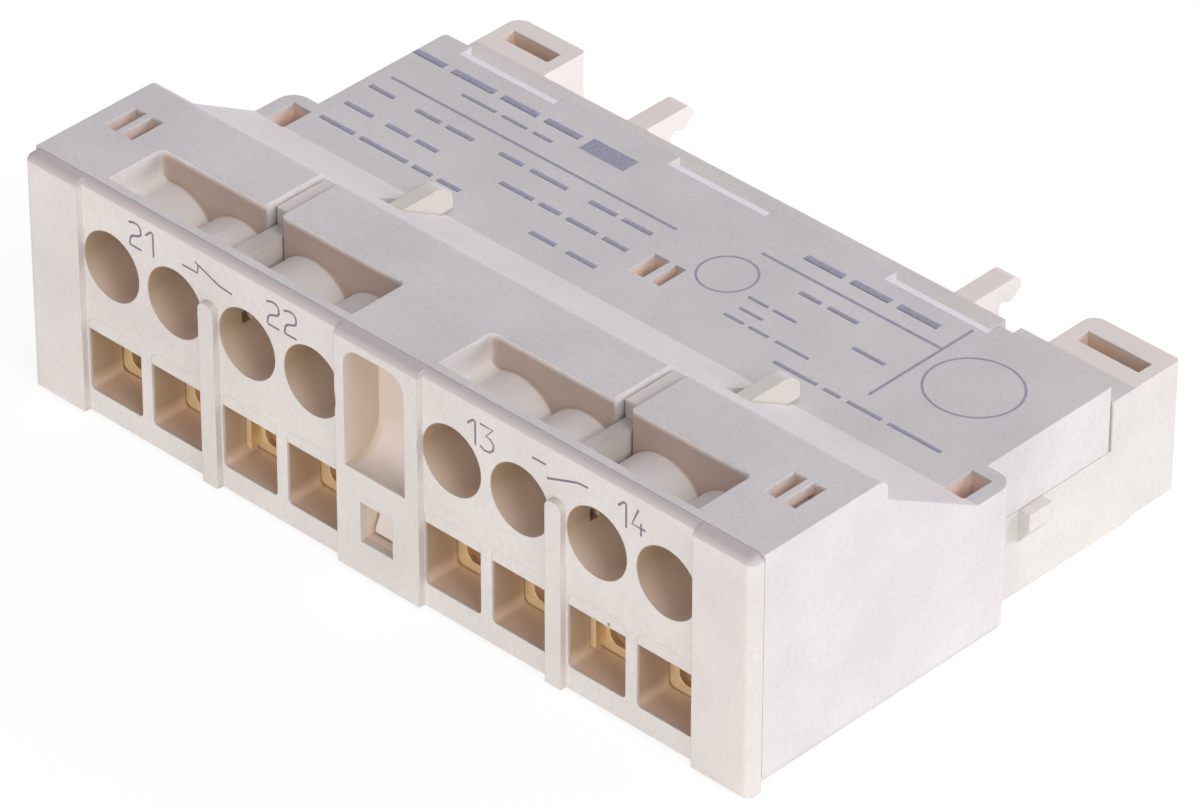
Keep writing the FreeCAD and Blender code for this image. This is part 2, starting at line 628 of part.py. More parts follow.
def side_nose(side):
    y = BLOCK_BACK + NOSE_Y
    x = side * (COVER_HALF - SEAM)
    out = side * (COVER_HALF + NOSE_OUT)
    high = SIDE_Z - SEAM
    outline = [(x, high - NOSE_H), (out, high - NOSE_H / 2), (out, high), (x, high)]
    return tilt(outline, y - NOSE_L / 2, y + NOSE_L / 2)


def tail_x(pole):
    # how far the strip tails run from the middle of the pole
    if pole < 0:
        return TIP_X + BRIDGE_END + 3 * ROOM + TAIL_W / 2
    return TIP_X


def base_housing():
    side = INSIDE - SEAM
    front = FUNNEL_BACK + SEAM
    high = SIDE_Z - SEAM
    floor = box(-COVER_HALF, COVER_HALF, front, REAR_BACK, 0, FLOOR_T)
    parts = [floor, box(-side, side, front, BLOCK_BACK - WALL - SEAM, 0, FLOOR_T)]
    for x in (-COVER_HALF, COVER_INSIDE):
        parts.append(box(x, x + WALL, BLOCK_BACK - WALL, REAR_BACK, 0, high))
    parts.append(box(-COVER_HALF, COVER_HALF, REAR_Y, REAR_BACK, 0, high))
    right = COVER_HALF - RIGHT_LUG_W
    left = LEFT_LUG_IN - COVER_HALF
    end = REAR_BACK + LUG_REACH
    ledge = right - STUB_W - LEDGE_GAP
    parts.append(box(left + LEFT_LUG_W - SEAM, ledge, REAR_Y, REAR_BACK, 0, LEDGE_Z))
    parts.append(box(right - STUB_W, right + SEAM, REAR_Y, REAR_BACK, 0, LEDGE_Z))
    parts.append(lug(right, COVER_HALF, end))
    parts.append(lug(left, left + LEFT_LUG_W, end - LUG_STEP))
    for x in (-HOOK_SPACING / 2, HOOK_SPACING / 2):
        parts.append(hook(x + HOOK_SHIFT))
    parts += [side_nose(-1), side_nose(1)]

    # cross wall, rails, posts and snap arms
    parts.append(box(-side, side, CROSS_Y, CROSS_BACK, 0, STRIP_TOP + CROSS_RISE))
    for pole in (-1, 1):
        parts += pole_ribs(pole)
        parts.append(flange_snap(pole))
    y = BLOCK_BACK + REAR_SNAP_Y
    half = REAR_SNAP_L / 2 - ROOM
    x = REAR_BAR_SHIFT - BAR_T / 2 - ROOM
    parts.append(box(x - 1.5 * BAR_T, x, y - half, y + half, 0, FLANGE_Z - 4 * ROOM))
    parts += centre_snap()
    body = join(parts)

    tools = []
    for pole in (-1, 1):
        x = pole * POLE_X
        w, h = PLUNGER_W / 2 + RUN, PLUNGER_H / 2 + RUN
        tools.append(box(x - w, x + w, REAR_Y - 1, REAR_BACK + 1, MECH_Z - h, MECH_Z + h))
        tools.append(rod(x, MECH_Z, PIN_R + RUN, CROSS_Y - 1, CROSS_BACK + 1))
        for d in (-tail_x(pole), tail_x(pole)):
            a, b = x + d - TAIL_W / 2 - SEAM, x + d + TAIL_W / 2 + SEAM
            tools.append(box(a, b, CROSS_Y - 1, CROSS_BACK + 1, STRIP_Z - SEAT, HEIGHT))
    return body.cut(tools)


def pole_ribs(pole):
    # what carries the strips and guides the slider of one pole
    x = pole * POLE_X
    top = STRIP_Z - SEAT
    ribs = []
    for d in (-PAIR / 2 - PITCH / 2, PAIR / 2 + PITCH / 2):
        ribs.append(box(x + d - TAIL_W / 2, x + d + TAIL_W / 2, LEG_Y + WALL, PLATE_END - ROOM, 0, top))
    w = TAB_W / 2
    far = tail_x(pole) + TAIL_W / 2
    for side in (-1, 1):
        if pole < 0:
            a, b = sorted((x + side * (TIP_X - w), x + side * far))
            y = NC_TAB + STRIP_T + SEAT
            ribs.append(box(a, b, y, y + WALL, 0, top))
        else:
            a, b = x + side * TIP_X - w, x + side * TIP_X + w
            ribs.append(box(a, b, NO_TAB - TAB_BEND - WALL, NO_TAB - SEAT, 0, top - TAB_BEND))
        a, b = sorted((x + side * (SLIDER_W / 2 + RUN), x + side * (SLIDER_W / 2 + RUN + RAIL_T)))
        ribs.append(box(a, b, RAIL_Y, REAR_Y + SEAM, 0, FLOOR_T + RAIL_H))
    return ribs


def flange_snap(side):
    x = side * (HALF_W - FLANGE_SNAP_IN)
    a, b = x - side * (FLANGE_SNAP_W / 2 - ROOM), side * (INSIDE - SEAM)
    tip = side * (HALF_W - FLANGE_SNAP_IN + FLANGE_SNAP_W / 2 - ROOM / 2)
    low, high = FLANGE_IN - 3 * ROOM, FLANGE_IN + ROOM
    outline = [(a, 0), (b, 0), (b, low), (tip, low), (tip, low + ROOM), (b, high), (a, high)]
    return tilt(outline, SLOPE_FOOT + ROOM, BLOCK_BACK - WALL - ROOM)


def centre_snap():
    # post with a nose that shows in the square window of the front plate
    x = SNAP_HOLE_SHIFT
    half = SNAP_HOLE_W / 2 - ROOM / 2
    z = FLOOR_T + SNAP_HOLE_RISE + ROOM / 2
    high = z + SNAP_HOLE_H - ROOM
    front = 1.1 * PLATE_T
    outline = [(front, z), (front, z + ROOM), (PLATE_T + SPIGOT_T, z + SNAP_HOLE_H / 2)]
    outline += [(PLATE_T + SPIGOT_T, high), (FUNNEL_BACK + ROOM, high), (FUNNEL_BACK + ROOM, z)]
    nose = slab(outline, x - half, x + half)
    wide = SNAP_HOLE_W / 2 + WALL / 2
    post = box(x - wide, x + wide, FUNNEL_BACK + SEAM, FUNNEL_BACK + WALL, 0, ENTRY_TOP)
    return [nose, post]


def clamp_spring(x, flank):
    low = LEG_Z
    high = TUNNEL_Z - ROOM - CLAMP_T / 2
    rest = STRIP_TOP + SEAT + CLAMP_T / 2
    top = high + CLAMP_RISE
    line = [(LEG_Y, low), (LEG_Y, high), (LOOP_Y, high), (LOOP_Y, top), (LOOP_END, top)]
    line += [(LOOP_END, rest), (LEG_Y + CLAMP_T / 2 + ROOM, rest)]
    body = ribbon(line, CLAMP_BEND, CLAMP_T, x - CLAMP_W / 2, x + CLAMP_W / 2)
    body = soften(body, 0.8 * CLAMP_BEND, "y", lambda p: p.z < low + 0.1)
    inner = CLAMP_W / 2 - CLAMP_BAR
    back = LEG_Y + CLAMP_T / 2
    window = box(x - inner, x + inner, LEG_Y - 1, back + SEAM, low + CLAMP_BOTTOM_BAR, high - CLAMP_BEND)
    window = soften(window, CLAMP_BEND, "y", lambda p: True)
    body = body.cut(window)
    if flank:
        a = x - ENTRY_W / 2 + SEAT
        y0 = FUNNEL_BACK - WALL / 2
        wing = box(a, a + CLAMP_T, y0, back, low + CLAMP_BEND - ROOM, ENTRY_TOP - SEAM)
        body = join([body, wing])
    return body


def terminal_strip(pole, side):
    # plate with two fingers, a tail and a bent tab that carries the fixed contact
    x = pole * POLE_X
    near, far = PAIR / 2, PAIR / 2 + PITCH
    holes = [x + side * near, x + side * far]
    a, b = min(holes) - STRIP_EDGE, max(holes) + STRIP_EDGE
    parts = [box(a, b, LEG_Y + WALL, PLATE_END, STRIP_Z, STRIP_TOP)]
    half = CLAMP_W / 2 - CLAMP_BAR - FINGER_PLAY
    for hx in holes:
        parts.append(box(hx - half, hx + half, LEG_Y, LEG_Y + WALL + 1, STRIP_Z, STRIP_TOP))
    tx = x + side * tail_x(pole)
    a, b = tx - TAIL_W / 2, tx + TAIL_W / 2
    cx = x + side * TIP_X
    mid = STRIP_Z + STRIP_T / 2
    low = STRIP_TOP - TAB_DROP
    if pole < 0:
        y1 = NC_TAB + STRIP_T + WALL
        parts.append(box(a, b, PLATE_END - 1, y1, STRIP_Z, STRIP_TOP))
        y = NC_TAB + STRIP_T / 2
        a, b = sorted((cx - side * TAB_W / 2, tx + side * TAIL_W / 2))
        parts.append(box(a, b, NC_TAB + STRIP_T / 2 + TAB_BEND, y1, STRIP_Z, STRIP_TOP))
        line = [(y1 - SEAM, mid), (y, mid), (y, low)]
    else:
        y = NO_TAB + STRIP_T / 2
        parts.append(box(a, b, PLATE_END - 1, y - TAB_BEND, STRIP_Z, STRIP_TOP))
        line = [(y - TAB_BEND - STRIP_T, mid), (y, mid), (y, low)]
    parts.append(ribbon(line, TAB_BEND, STRIP_T, cx - TAB_W / 2, cx + TAB_W / 2))
    return join(parts)


def fixed_contact(pole, side):
    x = pole * POLE_X + side * TIP_X
    y = NC_TAB - TIP_T if pole < 0 else NO_TAB + STRIP_T
    return rod(x, MECH_Z, TIP_R, y, y + TIP_T)


def bridge_y(pole):
    return NC_BRIDGE if pole < 0 else NO_BRIDGE


def bridge(pole):
    x = pole * POLE_X
    y = bridge_y(pole)
    end = TIP_X + BRIDGE_END
    body = box(x - end, x + end, y, y + BRIDGE_T, MECH_Z - BRIDGE_H / 2, MECH_Z + BRIDGE_H / 2)
    body = soften(body, 0.4 * TIP_R, "y", lambda p: True)
    neck = SLIDER_W / 2 + NECK_PLAY
    for sign in (-1, 1):
        z0, z1 = sorted((MECH_Z + sign * NECK_H / 2, MECH_Z + sign * BRIDGE_H))
        body = body.cut(box(x - neck, x + neck, y - 1, y + BRIDGE_T + 1, z0, z1))
    return body


def moving_contact(pole, side):
    x = pole * POLE_X + side * TIP_X
    y = NC_BRIDGE + BRIDGE_T if pole < 0 else NO_BRIDGE - TIP_T
    return rod(x, MECH_Z, TIP_R, y, y + TIP_T)


def window_span(pole):
    if pole < 0:
        return NC_WINDOW, NC_BRIDGE + BRIDGE_T + SEAT
    return NO_BRIDGE - SEAT, NO_SPRING + PRESS_L


def slider(pole):
    x = pole * POLE_X
    w, h = SLIDER_W / 2, SLIDER_H / 2
    body = box(x - w, x + w, SLIDER_Y, SLIDER_BACK, MECH_Z - h, MECH_Z + h)
    pin = rod(x, MECH_Z, PIN_R, CROSS_BACK - PIN_IN, SLIDER_Y + SEAM)
    w, h = PLUNGER_W / 2, PLUNGER_H / 2
    end = REAR_BACK + PLUNGER_OUT
    plunger = box(x - w, x + w, SLIDER_BACK - SEAM, end, MECH_Z - h, MECH_Z + h)
    plunger = soften(plunger, EDGE_R, "x", lambda p: p.y > end - 0.1)
    plunger = soften(plunger, EDGE_R, "z", lambda p: p.y > end - 0.1)
    y0, y1 = window_span(pole)
    w, h = SLIDER_W, WINDOW_H / 2
    body = body.cut(box(x - w, x + w, y0, y1, MECH_Z - h, MECH_Z + h))
    if pole < 0:
        peg = rod(x, MECH_Z, PEG_R, y0 - SEAM, y0 + PEG_L)
    else:
        peg = rod(x, MECH_Z, PEG_R, y1 - PEG_L, y1 + SEAM)
    return join([body, pin, plunger, peg])


def return_spring(pole):
    y = CROSS_BACK + SEAT
    return coil(pole * POLE_X, MECH_Z, y, RETURN_L - 2 * SEAT, RETURN_R, RETURN_WIRE, RETURN_TURNS)


def contact_spring(pole):
    y = NC_WINDOW if pole < 0 else NO_SPRING
    return coil(pole * POLE_X, MECH_Z, y + SEAT, PRESS_L - 2 * SEAT, PRESS_R, PRESS_WIRE, PRESS_TURNS)


os.makedirs("parts", exist_ok=True)
save("terminal_front_plate", front_plate())
save("upper_housing", upper_housing())
save("base_housing", base_housing())
for pole, kind in ((-1, "nc"), (1, "no")):
    for number, x in enumerate(pole_holes(pole)):
        name = "clamp_spring_" + kind + "_" + str(number + 1)
        save(name, clamp_spring(x, number == 2))
    for side, end in ((-1, "left"), (1, "right")):
        save("terminal_strip_" + kind + "_" + end, terminal_strip(pole, side))
        save("fixed_contact_" + kind + "_" + end, fixed_contact(pole, side))
        save("moving_contact_" + kind + "_" + end, moving_contact(pole, side))
    save("bridge_" + kind, bridge(pole))
    save("slider_" + kind, slider(pole))
    save("return_spring_" + kind, return_spring(pole))
    save("contact_spring_" + kind, contact_spring(pole))
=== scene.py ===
import math

import bmesh
import bpy
from mathutils import Matrix, Vector


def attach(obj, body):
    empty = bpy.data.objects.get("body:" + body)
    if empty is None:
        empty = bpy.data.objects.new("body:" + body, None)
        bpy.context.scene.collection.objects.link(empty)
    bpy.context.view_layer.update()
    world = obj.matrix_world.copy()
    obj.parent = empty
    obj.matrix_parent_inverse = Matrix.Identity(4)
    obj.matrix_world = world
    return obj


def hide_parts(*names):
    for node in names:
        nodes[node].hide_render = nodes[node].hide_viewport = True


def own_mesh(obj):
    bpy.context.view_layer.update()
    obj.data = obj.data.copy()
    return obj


# Looks of the auxiliary contact block: finishes for the moulded and metal parts,
# the print on the cover, the terminal marks, lamps, floor and camera.

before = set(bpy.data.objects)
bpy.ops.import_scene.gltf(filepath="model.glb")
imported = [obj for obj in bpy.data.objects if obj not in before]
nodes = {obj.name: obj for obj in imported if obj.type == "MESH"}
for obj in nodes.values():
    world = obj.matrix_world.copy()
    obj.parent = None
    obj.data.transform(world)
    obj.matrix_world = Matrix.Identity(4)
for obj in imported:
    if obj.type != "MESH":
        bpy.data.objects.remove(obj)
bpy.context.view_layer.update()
mm = 0.001
print("frame loaded,", len(nodes), "parts")


# shader helpers

def colour(red, green, blue):
    # screen colour 0 to 255, turned into the linear colour that a shader takes
    linear = []
    for value in (red, green, blue):
        share = value / 255
        linear.append(share / 12.92 if share <= 0.04045 else ((share + 0.055) / 1.055) ** 2.4)
    return (*linear, 1.0)


class Link:
    # one output socket; sums with it add Math nodes
    def __init__(self, tree, socket=None):
        self.tree = tree
        self.socket = socket

    def node(self, kind, settings=None, sockets=None, output=0):
        new = self.tree.nodes.new(kind)
        for name, value in (settings or {}).items():
            setattr(new, name, value)
        for name, value in (sockets or {}).items():
            if isinstance(value, Link):
                self.tree.links.new(value.socket, new.inputs[name])
            else:
                new.inputs[name].default_value = value
        return Link(self.tree, new.outputs[output] if len(new.outputs) else None)

    def maths(self, operation, first, second, clamp=False):
        return self.node("ShaderNodeMath", {"operation": operation, "use_clamp": clamp},
                         {0: first, 1: second})

    def __add__(self, other):
        return self.maths("ADD", self, other)

    def __radd__(self, other):
        return self.maths("ADD", other, self)

    def __sub__(self, other):
        return self.maths("SUBTRACT", self, other)

    def __rsub__(self, other):
        return self.maths("SUBTRACT", other, self)

    def __mul__(self, other):
        return self.maths("MULTIPLY", self, other)

    def __abs__(self):
        return self.maths("ABSOLUTE", self, 0)

    def __gt__(self, other):
        return self.maths("GREATER_THAN", self, other)

    def __lt__(self, other):
        return self.maths("LESS_THAN", self, other)

    def between(self, low, high):
        # 0 below low, 1 above high, even slope between
        return self.maths("MULTIPLY", self - low, 1 / (high - low), True)

    def blend(self, first, second):
        # colour that goes from first to second as this value goes from 0 to 1
        return self.node("ShaderNodeMix", {"data_type": "RGBA"}, {0: self, 6: first, 7: second}, 2)


def startMaterial(name):
    material = bpy.data.materials.new(name)
    material.use_nodes = True
    material.node_tree.nodes.clear()
    return material, Link(material.node_tree)


def endMaterial(material, start, shader):
    start.node("ShaderNodeOutputMaterial", None, {"Surface": shader})
    return material


def millimetres(start, stretch=(1, 1, 1)):
    # place on the part in millimetres, stretched for lines along one direction
    place = start.node("ShaderNodeTexCoord", None, None, 3)
    return start.node("ShaderNodeMapping", None, {"Vector": place, "Scale": [s / mm for s in stretch]})


def noise(place, scale, detail=2.0, rough=0.5):
    return place.node("ShaderNodeTexNoise", None,
                      {"Vector": place, "Scale": scale, "Detail": detail, "Roughness": rough})


def bumped(place, height, strength, distance, edge):
    # fine relief over edges that catch the light as a small rounding does
    rounded = place.node("ShaderNodeBevel", {"samples": 6}, {"Radius": edge * mm})
    return place.node("ShaderNodeBump", None,
                      {"Strength": strength, "Distance": distance * mm, "Height": height,
                       "Normal": rounded})


# moulded plastic

plasticLook = {
    "roughness": 0.5, "roughSpread": 0.12, "edge": 0.07,
    "grainScale": 7.0, "grain": 0.3, "grainHeight": 0.012,
    "mottleScale": 4.5, "mottle": 0.08, "mottleTone": (0.1, 0.09, 0.1, 1),
    "cloudScale": 0.22, "cloud": 0.1,
    "speckScale": 0.42, "speckSize": 0.045, "speckShare": 0.7, "speck": (120, 104, 92),
    "rareScale": 0.31, "rare": 0.62, "glow": (96, 74, 52),
}
# beside the three plastics' own colours, most tones here are painted light, painted shade and a painted
# highlight, which the masks below lay on the surface
plasticTones = {
    "front": (226, 219, 213), "housing": (224, 219, 217), "base": (226, 221, 215),
    "paintedHoleShade": (190, 164, 136), "paintedFloorLight": (234, 210, 190), "paintedRimShade": (194, 183, 183),
    "paintedScoopShade": (222, 206, 187), "back": (212, 199, 188), "paintedFootLight": (234, 222, 216),
    "paintedWallShade": (211, 191, 176), "paintedLight": (242, 235, 231), "paintedSnapLight": (248, 222, 206),
    "paintedNoseLight": (240, 222, 204), "paintedSnapNoseLight": (228, 218, 211), "tongue": (217, 212, 203),
    "paintedHighlight": (255, 252, 255), "paintedSlotLight": (240, 219, 200), "paintedLedgeLight": (240, 230, 222),
    "side": (254, 249, 242),
}


def plasticMaterial(name, tone, fields):
    # each field is a mask and the name of the tone that it brings
    look = plasticLook
    material, start = startMaterial(name)
    place = millimetres(start)
    base = colour(*plasticTones[tone])
    darker = tuple(part * (1 - look["cloud"]) for part in base[:3]) + (1.0,)
    face = noise(place, look["cloudScale"], 3.0).between(0.3, 0.7).blend(base, darker)
    mottled = noise(place, look["mottleScale"], 2.0, 0.6).between(0.35, 0.65) * look["mottle"]
    face = mottled.blend(face, look["mottleTone"])
    for mask, key in fields:
        face = mask(*axes(place)).blend(face, colour(*plasticTones[key]))
    cells = start.node("ShaderNodeTexVoronoi", None, {"Vector": place, "Scale": look["speckScale"]})
    rare = noise(place, look["rareScale"], 1.0) > look["rare"]
    specks = (cells < look["speckSize"]) * rare * look["speckShare"]
    face = specks.blend(face, colour(*look["speck"]))
    grain = noise(place, look["grainScale"], 4.0, 0.62)
    rough = look["roughness"] + grain.between(0.3, 0.7) * look["roughSpread"]
    normal = bumped(place, grain, look["grain"], look["grainHeight"], look["edge"])
    # painted glow, given out by the plastic as emission
    glow = innerGlow(*axes(place)).blend((0, 0, 0, 1), colour(*look["glow"]))
    shader = start.node("ShaderNodeBsdfPrincipled", None,
                        {"Base Color": face, "Roughness": rough, "Normal": normal, "IOR": 1.5,
                         "Emission Color": glow, "Emission Strength": 1.0})
    return endMaterial(material, start, shader)


def axes(place):
    # the three coordinates of a place
    return [place.node("ShaderNodeSeparateXYZ", None, {"Vector": place}, axis) for axis in range(3)]


def inside(value, low, high, soft=0.02):
    # 1 between the two limits and 0 outside them
    return value.between(low - soft, low) * (1 - value.between(high, high + soft))


def within(value, high, soft=0.02):
    # the same on both sides of the middle
    return inside(abs(value), 0, high, soft)


def under(value, low, high):
    # 1 below low and 0 above high
    return 1 - value.between(low, high)


# where each tone lies, in millimetres; a pair is the start and end of a change
holePlaces = {
    "start": (-14.54, -14.46), "entryStart": (-14.46, -14.36), "end": (-9.4, -8.4),
    "top": (10.45, 10.65), "side": (19.1, 19.3), "entryTop": 5.4,
    "scoopSide": (2.0, 2.2), "scoopFoot": (5.2, 5.6),
    "leftArm": (-11.33, -10.45), "rightArm": (10.01, 10.89), "armFoot": (9.6, 9.7),
    "holeLow": (7.0, 8.6), "holeFloor": 5.5, "entryLow": (1.25, 1.9),
}


def holeShade(x, y, z):
    # painted warm shade in the release holes and wire entries, from the terminal face inwards
    at = holePlaces
    paintedScoopShade = under(abs(x), *at["scoopSide"]) * z.between(*at["scoopFoot"])
    arms = (inside(x, *at["leftArm"]) + inside(x, *at["rightArm"])) * z.between(*at["armFoot"])
    start = (y.between(*at["start"]) * (z > at["entryTop"])
             + y.between(*at["entryStart"]) * (z < at["entryTop"]))
    sides = under(abs(x), *at["side"]) * under(z, *at["top"])
    return start * under(y, *at["end"]) * sides * (1 - paintedScoopShade) * (1 - arms)


def holeFloorLight(x, y, z):
    # painted light: paler lower sides of the holes and entries, which face up
    at = holePlaces
    holes = under(z, *at["holeLow"]) * (z > at["holeFloor"])
    return holeShade(x, y, z) * (holes + under(z, *at["entryLow"]))


facePlaces = {
    "rimFoot": (12.14, 12.24), "rimBack": (-14.1, -14.0), "tongueStart": (-7.5, -7.3),
    "scoopSide": 2.02, "scoopDepth": (-14.5, -12.5, 0.4), "scoopHeight": (5.3, 11.9, 0.3),
    "scoopBack": (-1.8, -1.5), "scoopFoot": (5.9, 7.3),
    "snapSide": 2.3, "snapDepth": (-14.5, -11.5), "snapTop": (4.9, 5.1),
    "glowSide": 19.5, "glowDepth": (-12.52, -1.0), "glowHeight": (0.9, 6.05),
}


def rimShade(x, y, z):
    # painted shade: greyer upper edge of the front plate
    return z.between(*facePlaces["rimFoot"]) * under(y, *facePlaces["rimBack"])


def tongueTop(x, y, z):
    # latch arms behind the windows
    return y.between(*facePlaces["tongueStart"])


def scoopDepth(x, y, z):
    # painted warm shade in the finger recess
    at = facePlaces
    return within(x, at["scoopSide"]) * inside(y, *at["scoopDepth"]) * inside(z, *at["scoopHeight"])


def scoopBack(x, y, z):
    # painted shade: greyer back of the finger recess
    return scoopDepth(x, y, z) * x.between(*facePlaces["scoopBack"])


def scoopFoot(x, y, z):
    # painted light: paler foot of the recess, which faces up
    return scoopBack(x, y, z) * under(z, *facePlaces["scoopFoot"])


def frontSnapLight(x, y, z):
    # painted warm light in the snap window of the terminal face and on its nose
    at = facePlaces
    return within(x, at["snapSide"]) * inside(y, *at["snapDepth"]) * under(z, *at["snapTop"])


def innerGlow(x, y, z):
    # painted glow: light that comes through the thin white walls into the rooms behind the entries
    at = facePlaces
    return within(x, at["glowSide"]) * inside(y, *at["glowDepth"]) * inside(z, *at["glowHeight"])


housingPlaces = {
    "wallDepth": (-10.42, -10.2), "wallSide": 21.6, "wallTop": (12.1, 12.4),
    "humpDepth": (-13.68, -10.45), "humpSide": 19.7, "humpTop": (11.0, 11.8),
    "topSnapDepth": (-10.84, -8.86), "topSnapSide": (19.0, 21.3), "topSnapTop": (12.0, 12.4),
    "endSnapDepth": (-0.9, 1.2), "endSnapSide": (20.3, 21.55),
    "midSnapDepth": (1.93, 3.72), "midSnapSide": 0.96, "coverTop": (7.6, 7.95),
    "stripes": [(-18.9, -12.8), (-5.55, 0.55), (7.8, 13.9)], "stripeDepth": (9.34, 9.7),
    "stripeFoot": (7.9, 7.94), "stripeShare": 0.8,
    "armSlots": [(-12.4, -9.4), (9.0, 12.0)], "armDepth": (-7.4, -0.4), "armFoot": (7.6, 7.7),
    "slopeFall": 0.5778, "underSlope": (7.5, 7.6),
}


def windowWallShade(x, y, z):
    # painted shade on the rear wall of the top windows
    at = housingPlaces
    return inside(y, *at["wallDepth"]) * within(x, at["wallSide"]) * under(z, *at["wallTop"])


def windowFloorLight(x, y, z):
    # painted light on the humps in the top windows
    at = housingPlaces
    return inside(y, *at["humpDepth"]) * within(x, at["humpSide"]) * under(z, *at["humpTop"])


def snapDepth(x, y, z):
    # painted warm light in the snap windows of the top, of the flange's ends and of the cover
    at = housingPlaces
    top = inside(y, *at["topSnapDepth"]) * inside(abs(x), *at["topSnapSide"]) * under(z, *at["topSnapTop"])
    ends = inside(y, *at["endSnapDepth"]) * inside(abs(x), *at["endSnapSide"])
    middle = inside(y, *at["midSnapDepth"]) * within(x, at["midSnapSide"])
    return top + (ends + middle) * under(z, *at["coverTop"])


def bevelHighlight(x, y, z):
    # painted highlight: light that the three bevels of the cover catch
    at = housingPlaces
    first, second, third = (inside(x, *span) for span in at["stripes"])
    edge = inside(y, *at["stripeDepth"]) * z.between(*at["stripeFoot"])
    return edge * (first + second + third) * at["stripeShare"]


def armSlotLight(x, y, z):
    # painted light on the sides of the two slots in the slope, under its surface
    at = housingPlaces
    left, right = (inside(x, *span) for span in at["armSlots"])
    below = under(z + y * at["slopeFall"], *at["underSlope"]) * z.between(*at["armFoot"])
    return (left + right) * inside(y, *at["armDepth"]) * below


basePlaces = {
    "leftSlot": (-19.46, -16.44), "rightSlot": (16.19, 19.91), "slotDepth": (12.67, 13.59),
    "slotTop": (6.9, 7.08), "ledgeTop": (7.06, 7.08), "ledgeStart": (11.6, 11.8),
    "lugSide": (-15.8, -15.7), "lugShare": 0.7, "leftHook": (-9.2, -9.05),
    "rightHook": (11.0, 11.2), "hookShare": 0.6, "sideStart": (11.8, 11.9),
}


def slotDepth(x, y, z):
    # painted light in the slots of the two lugs
    at = basePlaces
    spans = inside(x, *at["rightSlot"]) + inside(x, *at["leftSlot"])
    return spans * inside(y, *at["slotDepth"]) * under(z, *at["slotTop"])


def ledgeTop(x, y, z):
    # painted light on the top of the ledge, hooks and lugs
    return z.between(*basePlaces["ledgeTop"]) * y.between(*basePlaces["ledgeStart"])


def rearSideLight(x, y, z):
    # painted light on the inner side of the left lug and the right sides of the hooks
    at = basePlaces
    hooks = inside(x, *at["leftHook"]) + inside(x, *at["rightHook"])
    sides = inside(x, *at["lugSide"]) * at["lugShare"] + hooks * at["hookShare"]
    return sides * y.between(*at["sideStart"])


# most of these fields lay painted light and painted shade over each plastic's own colour
frontPlastic = plasticMaterial("warm_white_front", "front", [
    (holeShade, "paintedHoleShade"), (holeFloorLight, "paintedFloorLight"), (frontSnapLight, "paintedNoseLight"), (scoopDepth, "paintedScoopShade"),
    (scoopBack, "back"), (scoopFoot, "paintedFootLight"), (rimShade, "paintedRimShade"), (tongueTop, "tongue")])
housingPlastic = plasticMaterial("warm_white_housing", "housing", [
    (windowWallShade, "paintedWallShade"), (windowFloorLight, "paintedLight"), (snapDepth, "paintedSnapLight"), (armSlotLight, "paintedLight"),
    (bevelHighlight, "paintedHighlight")])
basePlastic = plasticMaterial("warm_white_base", "base", [
    (ledgeTop, "paintedLedgeLight"), (slotDepth, "paintedSlotLight"), (rearSideLight, "side"), (frontSnapLight, "paintedSnapNoseLight")])


sliderLook = {
    "tone": (150, 154, 158), "drift": 0.93, "driftScale": 0.6, "fineScale": 9.0,
    "roughness": 0.42, "roughSpread": 0.1, "grain": 0.12, "grainHeight": 0.008, "edge": 0.09,
}


def acetalMaterial(name):
    look = sliderLook
    material, start = startMaterial(name)
    place = millimetres(start)
    drift = noise(place, look["driftScale"], 2.0).between(0.3, 0.7)
    tone = drift.blend(colour(*look["tone"]), colour(*[v * look["drift"] for v in look["tone"]]))
    fine = noise(place, look["fineScale"], 3.0)
    rough = look["roughness"] + fine * look["roughSpread"]
    normal = bumped(place, fine, look["grain"], look["grainHeight"], look["edge"])
    shader = start.node("ShaderNodeBsdfPrincipled", None,
                        {"Base Color": tone, "Roughness": rough, "Normal": normal})
    return endMaterial(material, start, shader)


# metal

metalLook = {
    "clamp": {"bright": (240, 220, 182), "dull": (222, 194, 150), "metallic": 0.7,
              "roughness": 0.38, "lines": (1.2, 14, 14), "edge": 0.04},
    "strip": {"bright": (236, 204, 150), "dull": (214, 176, 122), "metallic": 0.6,
              "roughness": 0.42, "lines": (12, 1.5, 12), "edge": 0.05},
    "bridge": {"bright": (206, 160, 104), "dull": (176, 124, 78), "metallic": 0.85,
               "roughness": 0.34, "lines": (1.5, 12, 12), "edge": 0.05},
    "tip": {"bright": (222, 220, 214), "dull": (196, 192, 186), "metallic": 0.85,
            "roughness": 0.28, "lines": (6, 6, 6), "edge": 0.06},
    "wire": {"bright": (186, 188, 192), "dull": (146, 148, 152), "metallic": 0.85,
             "roughness": 0.26, "lines": (9, 9, 9), "edge": 0.02},
}
rollLook = {
    "stainScale": 0.9, "stainShare": 0.6, "lineShare": 0.4, "lineRough": 0.16,
    "stainRough": 0.1, "grain": 0.25, "grainHeight": 0.006,
}


def metalMaterial(name, look):
    # drawn lines and faint stains
    roll = rollLook
    material, start = startMaterial(name)
    place = millimetres(start)
    drawn = noise(millimetres(start, look["lines"]), 1.0, 3.0, 0.6)
    stain = noise(place, roll["stainScale"], 3.0).between(0.42, 0.68)
    worn = stain * roll["stainShare"] + drawn.between(0.3, 0.7) * roll["lineShare"]
    tone = worn.blend(colour(*look["bright"]), colour(*look["dull"]))
    rough = look["roughness"] + drawn * roll["lineRough"] + stain * roll["stainRough"]
    normal = bumped(place, drawn, roll["grain"], roll["grainHeight"], look["edge"])
    shader = start.node("ShaderNodeBsdfPrincipled", None,
                        {"Base Color": tone, "Metallic": look["metallic"], "Roughness": rough,
                         "Normal": normal})
    return endMaterial(material, start, shader)


